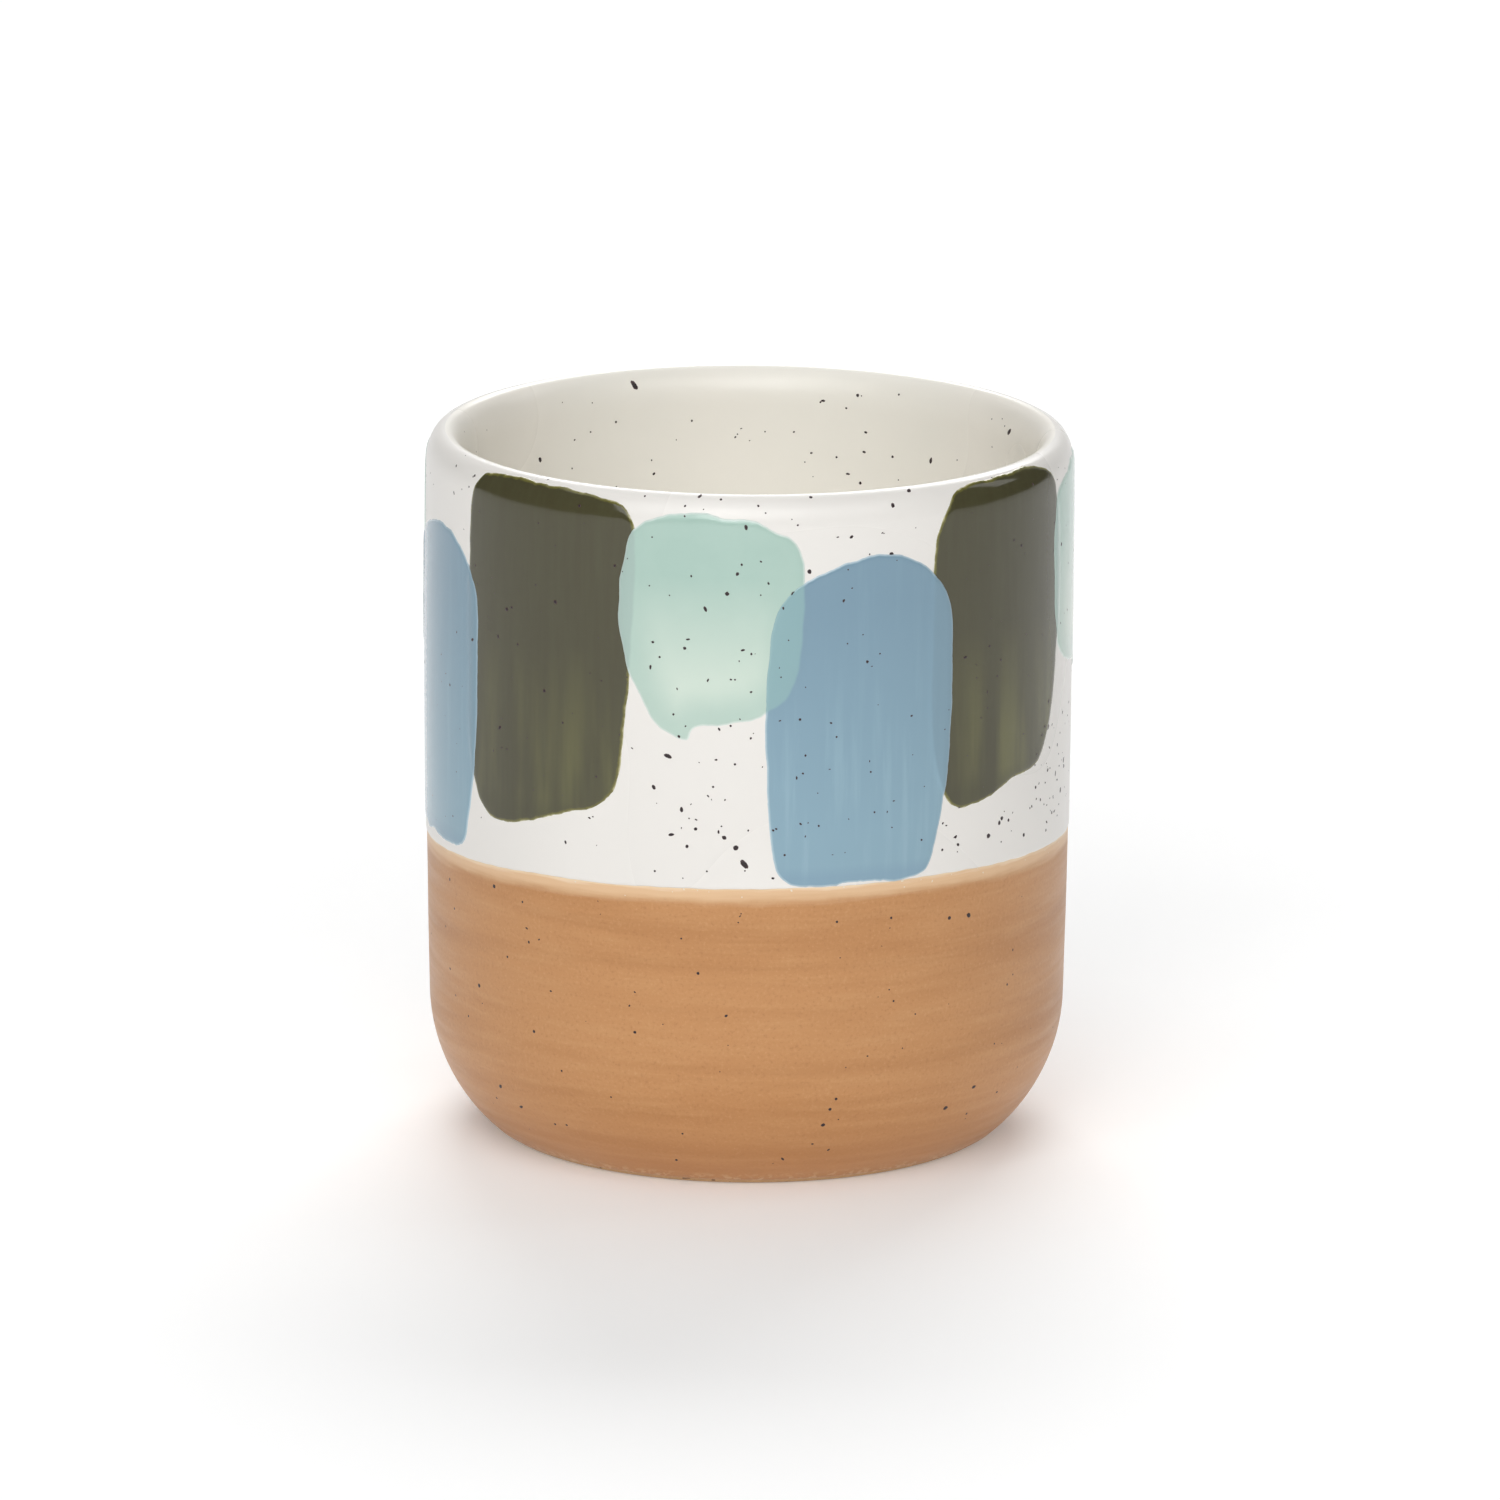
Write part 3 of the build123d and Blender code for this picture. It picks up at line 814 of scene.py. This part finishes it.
def brush_on(row):
    """One stroke: a thin closed pad of glaze that follows the wall and rides over the strokes under it."""
    name, _, angle, _, painted_over = row
    s, clay = bpy.context.scene.mug_sizes, outline()
    obj, ring, column, below = flat_pad(name + "_glaze")
    edge_line = stroke_outline(name)
    sheet = spread_inside(edge_line, ring, column, below)
    depth = depth_inside(sheet, edge_line)
    depth[(ring == 0) & ~below] = 0
    # How far each point is inside the strokes under this one, and how far they lift it
    far_off, ride_width = -10 * MM, 0.5 * MM
    laps = {"lap_olive": np.full(len(sheet), far_off), "lap_mint": np.full(len(sheet), far_off)}
    lift = np.zeros(len(sheet))
    for other in painted_over:
        other_angle = next(r[2] for r in STROKES if r[0] == other)
        lap = depth_inside(other_side(sheet, angle, other_angle), stroke_outline(other))
        lift = np.maximum(lift, s.stroke_coat * np.clip(lap / ride_width + 0.5, 0, 1))
        key = "lap_" + colour_of(other)
        laps[key] = np.maximum(laps[key], lap)
    sunk = -0.04 * MM
    rise = np.where(below, sunk, stroke_rise(depth) + lift)
    places = np.empty((len(sheet), 3))
    for i, (across, height) in enumerate(sheet):
        if height > clay.lip[1]:
            height = clay.lip[1] + (height - clay.lip[1]) * s.lip_drop / (s.lip_drop + s.glaze_coat)
        r, z = clay.outside(min(height, clay.top), s.glaze_coat + rise[i])
        turn = radians(angle) + across / s.belly_radius
        places[i] = (r * sin(turn), -r * cos(turn), z)
    put_places(obj, places)
    face_outwards()
    low_end, high_end = edge_line[:, 1].min(), edge_line[:, 1].max()
    add_values(obj, "edge", np.maximum(depth, 0))
    add_values(obj, "up", (sheet[:, 1] - low_end) / (high_end - low_end))
    for key, values in laps.items():
        add_values(obj, key, values)
    settle(obj)
    return obj


# ---------------------------------------------------------------- specks


def speck_shape():
    """A low dome with a few dozen faces, 2 m wide before it is scaled, its rim sunk below its middle."""
    bpy.ops.object.select_all(action="DESELECT")
    bpy.ops.mesh.primitive_circle_add(vertices=9, radius=1.0, fill_type="NGON")
    obj = bpy.context.object
    bpy.ops.object.mode_set(mode="EDIT")
    bpy.ops.mesh.select_all(action="SELECT")
    bpy.ops.transform.translate(value=(0, 0, -0.15))
    bpy.ops.mesh.extrude_region_move(TRANSFORM_OT_translate={"value": (0, 0, 0.30)})
    bpy.ops.transform.resize(value=(0.82, 0.82, 1))
    bpy.ops.mesh.extrude_region_move(TRANSFORM_OT_translate={"value": (0, 0, 0.12)})
    bpy.ops.transform.resize(value=(0.5, 0.5, 1))
    bpy.ops.mesh.poke()
    face_outwards()
    shape = places_of(obj)
    add_values(obj, "heart", 1 - np.minimum(1, np.hypot(shape[:, 0], shape[:, 1])))
    return obj


def lay_specks(name, spots, rng):
    """Copies the dome to each spot, each stretched and turned by chance, and joins them into one piece.

    A spot is (place, outward direction, width).
    """
    height_share, unevenness = 0.16, 0.16
    dome = speck_shape()
    shape = places_of(dome)
    copies = [dome]
    for _ in spots[1:]:
        copy = dome.copy()
        copy.data = dome.data.copy()
        bpy.context.collection.objects.link(copy)
        copies.append(copy)
    for copy, (place, out, width) in zip(copies, spots):
        side = out.orthogonal().normalized()
        up = out.cross(side)
        turn, long = rng.uniform(0, 2 * pi), rng.choice((1.0, 1.0, 1.15, 1.3, 1.6))
        places = []
        for x, y, z in shape:
            ragged = 1 + unevenness * rng.uniform(-1, 1)
            a, b = x * ragged * long * width / 2, y * ragged / long ** 0.5 * width / 2
            u, v = a * cos(turn) - b * sin(turn), a * sin(turn) + b * cos(turn)
            places.append(place + side * u + up * v + out * (z * width * height_share))
        put_places(copy, places)
        copy.select_set(True)
    bpy.context.view_layer.objects.active = dome
    bpy.ops.object.join()
    dome.name = dome.data.name = name
    bpy.ops.object.shade_smooth_by_angle(angle=radians(60))
    settle(dome)
    return dome


def outside_spot(degrees, height, rise, width):
    """Place and direction of a speck on the outside, rise above the clay."""
    clay = outline()
    turn = radians(degrees)
    r0, z0 = clay.outside(height, 0)
    r1, z1 = clay.outside(height, 1 * MM)
    r, z = clay.outside(height, rise)
    out = Vector(((r1 - r0) * sin(turn), -(r1 - r0) * cos(turn), z1 - z0)).normalized()
    return Vector((r * sin(turn), -r * cos(turn), z)), out, width


def inside_spot(degrees, height, width):
    """Place and direction of a speck on the glaze inside, on the wall or on the lip's inner curve."""
    clay = outline()
    coat = clay.sizes.glaze_coat
    r = clay.inner - coat
    across, up = -1.0, 0.0
    middle, reach = clay.top - clay.sizes.lip_inner_depth, clay.sizes.lip_inner_depth + coat
    if height > middle:
        # Short of the lip's very top
        share = min(0.98, (height - middle) / reach)
        half_width = clay.lip[0] - r
        r = clay.lip[0] - half_width * sqrt(1 - share ** 2)
        across, up = -sqrt(1 - share ** 2) / half_width, share / reach
    turn = radians(degrees)
    out = Vector((across * sin(turn), -across * cos(turn), up)).normalized()
    return Vector((r * sin(turn), -r * cos(turn), height)), out, width


def stroke_top(outlines, degrees, height):
    """How far the painted surface stands above the white glaze at a place, from each stroke's outline."""
    s = bpy.context.scene.mug_sizes
    widest = 24
    top = 0.0
    for name, _, angle, _, _ in STROKES:
        off = (degrees - angle + 180) % 360 - 180
        if abs(off) < widest:
            depth = depth_inside(np.array([[radians(off) * s.belly_radius, height]]), outlines[name])
            if depth[0] > 0:
                top += max(0.0, float(stroke_rise(depth)[0]))
    return top


def speck_width(rng):
    """Widths of chance specks: mostly fine, a few large."""
    return min(0.95, 0.17 + rng.expovariate(1 / 0.11)) * MM


# ---------------------------------------------------------------- operators, one for each piece or group


class MUG_OT_clay(bpy.types.Operator):
    """Makes the clay body: foot ring, wall, lip and floor."""

    bl_idname = "mug.clay"
    bl_label = "Clay body"

    def execute(self, context):
        s, clay = context.scene.mug_sizes, outline()
        ring, edge = clay.foot - s.foot_ring_width, s.foot_edge_round
        edge_steps = 4
        section = [(ring * share, s.foot_recess) for share in (0.03, 0.3, 0.6, 0.85, 0.97)]
        section += [(ring, s.foot_recess - 0.1 * MM)]
        for i in range(edge_steps + 1):
            angle = i * pi / (2 * edge_steps)
            section.append((ring + edge * (1 - cos(angle)), edge * (1 - sin(angle))))
        section += [(clay.foot - 2 * edge, 0.0), (clay.foot - edge / 2, 0.04 * MM)]
        section += [clay.outside(z) for z in clay.outside_run(0.3 * MM, clay.top, 3 * MM)]
        section += clay.inside_run(0)[1:]
        obj = throw("clay_body", section, CLAY_AROUND, poles=True)
        settle(obj)
        obj.data.materials.append(clay_material())
        hand_over(obj, "fired_clay", "stoneware_body")
        return {"FINISHED"}


class MUG_OT_liner(bpy.types.Operator):
    """Makes the glaze inside the mug, up to the top of the lip."""

    bl_idname = "mug.liner"
    bl_label = "Liner glaze"

    def execute(self, context):
        s, clay = context.scene.mug_sizes, outline()
        section = clay.inside_run(0)[::-1] + clay.inside_run(s.glaze_coat)
        obj = throw("liner_glaze_coat", section, LINER_AROUND, poles=True)
        settle(obj)
        liner = context.scene.mug_colours.liner
        obj.data.materials.append(satin_glaze("satin_ivory_liner_glaze", liner, "#f1eee5"))
        hand_over(obj, "liner_glaze", "liner_glaze")
        return {"FINISHED"}


class MUG_OT_white(bpy.types.Operator):
    """Makes the white glaze outside, from the lip down to its rolled edge at the dip line."""

    bl_idname = "mug.white"
    bl_label = "White glaze"

    def execute(self, context):
        s, clay = context.scene.mug_sizes, outline()
        coat, dip = s.glaze_coat, s.dip_height
        # The rolled lower edge: mm above the dip line, share of the coat's thickness
        rolled = [(0.0, 0.0), (-0.02, 0.45), (0.02, 0.8), (0.15, 1.0), (0.4, 1.06), (0.9, 1.03), (1.5, 1.0)]
        section = [clay.outside(dip + up * MM, coat * thick) for up, thick in rolled]
        section += [clay.outside(z, coat) for z in clay.outside_run(dip + 2.5 * MM, clay.top, 2 * MM)]
        section += [clay.outside(z, 0) for z in clay.outside_run(dip + 1 * MM, clay.top, 4 * MM)[::-1]]
        obj = throw("white_glaze_coat", section, COAT_AROUND)
        follow_dip_line(obj, DIP_REACH)
        settle(obj)
        white = context.scene.mug_colours.white
        obj.data.materials.append(satin_glaze("satin_white_stoneware_glaze", white, "#ebe8e3"))
        hand_over(obj, "white_glaze", "outer_glaze")
        return {"FINISHED"}


class MUG_OT_slip(bpy.types.Operator):
    """Makes the tan slip from the dip line down to the foot."""

    bl_idname = "mug.slip"
    bl_label = "Tan slip"

    def execute(self, context):
        s, clay = context.scene.mug_sizes, outline()
        coat, dip = s.slip_coat, s.dip_height
        low = s.slip_above_table
        heights = clay.outside_run(low + 0.3 * MM, dip - 0.6 * MM, 1 * MM)
        section = [clay.outside(low, 0), clay.outside(low + 0.05 * MM, coat * 0.6)]
        section += [clay.outside(z, coat) for z in heights]
        section += [clay.outside(dip - 0.2 * MM, coat), clay.outside(dip + 0.02 * MM, coat * 0.9)]
        back = clay.outside_run(low + 1 * MM, dip + 0.02 * MM, 3 * MM)[::-1]
        section += [clay.outside(z, 0) for z in back]
        obj = throw("tan_slip_coat", section, COAT_AROUND)
        follow_dip_line(obj, DIP_REACH)
        add_values(obj, "below_line", [dip + dip_wave(atan2(x, -y)) - z for x, y, z in places_of(obj)])
        settle(obj)
        obj.data.materials.append(tan_slip_material())
        hand_over(obj, "tan_slip", "base_slip")
        return {"FINISHED"}


class MUG_OT_strokes(bpy.types.Operator):
    """Paints the twelve brush strokes, olive first, then mint, then blue."""

    bl_idname = "mug.strokes"
    bl_label = "Brush strokes"

    def execute(self, context):
        materials = {"olive": olive_material(), "mint": mint_material(), "blue": blue_material()}
        for row in STROKES:
            obj = brush_on(row)
            obj.data.materials.append(materials[colour_of(row[0])])
            hand_over(obj, colour_of(row[0]) + "_glaze", row[0])
        return {"FINISHED"}


class MUG_OT_specks(bpy.types.Operator):
    """Scatters the iron specks outside, inside and on the slip, and the white crumbs below the dip line."""

    bl_idname = "mug.specks"
    bl_label = "Specks"

    def execute(self, context):
        s, clay = context.scene.mug_sizes, outline()
        rng = random.Random(11)
        iron = iron_material()
        self.lay("iron_specks_outside", self.outside(s, clay, rng), rng, iron, "white_glaze")
        self.lay("iron_specks_inside", self.inside(s, clay, rng), rng, iron, "liner_glaze")
        self.lay("iron_specks_on_slip", self.on_slip(s, rng), rng, iron, "tan_slip")
        crumbs = []
        for _ in range(CRUMBS):
            a = rng.uniform(-180, 180)
            z = s.dip_height + dip_wave(radians(a)) - rng.expovariate(1 / 0.45) * MM - 0.1 * MM
            crumbs.append(outside_spot(a, z, s.slip_coat, rng.uniform(0.10, 0.28) * MM))
        self.lay("white_glaze_crumbs", crumbs, rng, crumb_material(), "white_glaze")
        return {"FINISHED"}

    def outside(self, s, clay, rng):
        """Spots on the white glaze and its strokes, with a cluster where the iron came up."""
        outlines = {row[0]: stroke_outline(row[0]) for row in STROKES}
        wall = [(a, z * MM, w * MM * SPECK_SHARE) for a, z, w in FRONT_SPECKS]
        for _ in range(CHANCE_OUTSIDE):
            wall.append((rng.uniform(-180, 180), rng.uniform(s.dip_height + 0.8 * MM, clay.top - 0.1 * MM),
                         speck_width(rng)))
        # Middle and spread of the cluster, in degrees and in mm, and where it ends
        cluster_turn, cluster_height, cluster_top = (69, 6), (53, 5), 66
        for _ in range(CHANCE_CLUSTER):
            a, z = rng.gauss(*cluster_turn), rng.gauss(*cluster_height)
            if s.dip_height / MM + 1 < z < cluster_top:
                wall.append((a, z * MM, speck_width(rng) + 0.12 * MM))
        spots = []
        for a, z, w in wall:
            z = min(z, clay.top)
            spots.append(outside_spot(a, z, s.glaze_coat + stroke_top(outlines, a, z), w))
        return spots

    def inside(self, s, clay, rng):
        """Spots on the inner wall and on the floor."""
        wall = [(a, z * MM, w * MM * SPECK_SHARE) for a, z, w in INSIDE_SPECKS]
        for _ in range(CHANCE_INSIDE):
            wall.append((rng.uniform(-180, 180), rng.uniform(22 * MM, clay.top - 0.5 * MM),
                         speck_width(rng)))
        spots = [inside_spot(a, z, w) for a, z, w in wall]
        for _ in range(CHANCE_FLOOR):
            a, far = rng.uniform(0, 2 * pi), 24 * MM * sqrt(rng.random())
            place = Vector((far * cos(a), far * sin(a), clay.floor + s.glaze_coat))
            spots.append((place, Vector((0, 0, 1)), speck_width(rng)))
        return spots

    def on_slip(self, s, rng):
        """Spots on the slip, finer than on the glaze."""
        wall = [(a, z * MM, w * MM) for a, z, w in SLIP_SPECKS]
        for _ in range(CHANCE_SLIP):
            wall.append((rng.uniform(-180, 180), rng.uniform(4 * MM, s.dip_height - 3 * MM),
                         speck_width(rng) * 0.8))
        return [outside_spot(a, z, s.slip_coat, w) for a, z, w in wall]

    def lay(self, name, spots, rng, material, slot):
        """Lays one group of specks and hands it over."""
        obj = lay_specks(name, spots, rng)
        obj.data.materials.append(material)
        hand_over(obj, slot)


class MUG_OT_stage(bpy.types.Operator):
    """Sets up the pale sweep, the soft lights and the camera."""

    bl_idname = "mug.stage"
    bl_label = "Studio"

    def execute(self, context):
        self.sweep()
        for row in LIGHTS:
            self.light(*row)
        world = bpy.data.worlds.new("studio_air")
        world.use_nodes = True
        air = world.node_tree.nodes["Background"]
        air.inputs["Color"].default_value = linear("#ffffff")
        air.inputs["Strength"].default_value = 0.03
        context.scene.world = world
        context.scene.view_settings.view_transform = "Standard"
        self.camera(context)
        return {"FINISHED"}

    def sweep(self):
        """A floor that curves up into a backdrop."""
        size, wall_height, curve = 8, 4, 1.5
        bpy.ops.object.select_all(action="DESELECT")
        bpy.ops.mesh.primitive_plane_add(size=size, location=(0, 0, 0))
        obj = bpy.context.object
        obj.name = "pale_sweep"
        behind = 0.49 * size
        select_in_edit(obj, lambda co: co.y > behind)
        bpy.ops.mesh.extrude_region_move(TRANSFORM_OT_translate={"value": (0, 0, wall_height)})
        select_in_edit(obj, lambda co: co.y > behind and co.z < wall_height / 2)
        bpy.ops.mesh.bevel(offset=curve, segments=16, affect="EDGES")
        bpy.ops.object.mode_set(mode="OBJECT")
        bpy.ops.object.shade_smooth()
        # Backlit white acrylic, so the pot stands on light with only a soft shadow
        material = empty_material("backlit_white_acrylic")
        surface = add(material, "BsdfPrincipled", {
            "Base Color": "#f4f4f4", "Roughness": 0.6, "Specular IOR Level": 0.2,
            "Emission Color": "#ffffff", "Emission Strength": 0.15,
        })
        add(material, "OutputMaterial", {"Surface": surface})
        obj.data.materials.append(material)

    def light(self, name, place, size, power):
        """One rectangular soft light."""
        lamp = bpy.data.lights.new(name, "AREA")
        lamp.shape, lamp.size, lamp.size_y, lamp.energy = "RECTANGLE", *size, power
        obj = bpy.data.objects.new(name, lamp)
        bpy.context.collection.objects.link(obj)
        obj.location = place
        obj.rotation_euler = (MIDDLE - Vector(place)).to_track_quat("-Z", "Y").to_euler()

    def camera(self, context):
        """A long lens, a little above the rim, almost level with the wall and turned a touch."""
        lens = bpy.data.cameras.new("long_lens")
        lens.lens, lens.sensor_width = 316.6, 36
        obj = bpy.data.objects.new("camera", lens)
        context.collection.objects.link(obj)
        distance, lift, roll = 1.840, radians(13.83), 0.0069
        obj.location = MIDDLE + distance * Vector((0, -cos(lift), sin(lift)))
        aim = Vector((0.0003, 0, 0.05306))
        look = (aim - obj.location).to_track_quat("-Z", "Y").to_matrix().to_4x4()
        obj.rotation_euler = (look @ Matrix.Rotation(roll, 4, "Z")).to_euler()
        context.scene.camera = obj


class MUG_PT_panel(bpy.types.Panel):
    """Lists the mug's pieces and sizes in the sidebar."""

    bl_idname = "MUG_PT_panel"
    bl_label = "Stoneware mug"
    bl_space_type = "VIEW_3D"
    bl_region_type = "UI"
    bl_category = "Mug"

    def draw(self, context):
        for operator in OPERATORS:
            self.layout.operator(operator.bl_idname)
        for group in (context.scene.mug_sizes, context.scene.mug_colours):
            box = self.layout.box()
            for name in group.bl_rna.properties.keys():
                if name not in ("rna_type", "name"):
                    box.prop(group, name)


OPERATORS = (
    MUG_OT_clay, MUG_OT_liner, MUG_OT_white, MUG_OT_slip, MUG_OT_strokes, MUG_OT_specks, MUG_OT_stage,
)
CLASSES = (MugSizes, MugColours, *OPERATORS, MUG_PT_panel)


def register():
    """Adds the classes and the settings to Blender."""
    for item in CLASSES:
        bpy.utils.register_class(item)
    bpy.types.Scene.mug_sizes = bpy.props.PointerProperty(type=MugSizes)
    bpy.types.Scene.mug_colours = bpy.props.PointerProperty(type=MugColours)


def unregister():
    """Takes the classes and the settings away."""
    del bpy.types.Scene.mug_colours
    del bpy.types.Scene.mug_sizes
    for item in reversed(CLASSES):
        bpy.utils.unregister_class(item)


def main():
    """Makes the mug and its studio."""
    register()
    mug = bpy.ops.mug
    for make in (mug.clay, mug.liner, mug.white, mug.slip, mug.strokes, mug.specks, mug.stage):
        make()


if __name__ == "__main__":
    main()
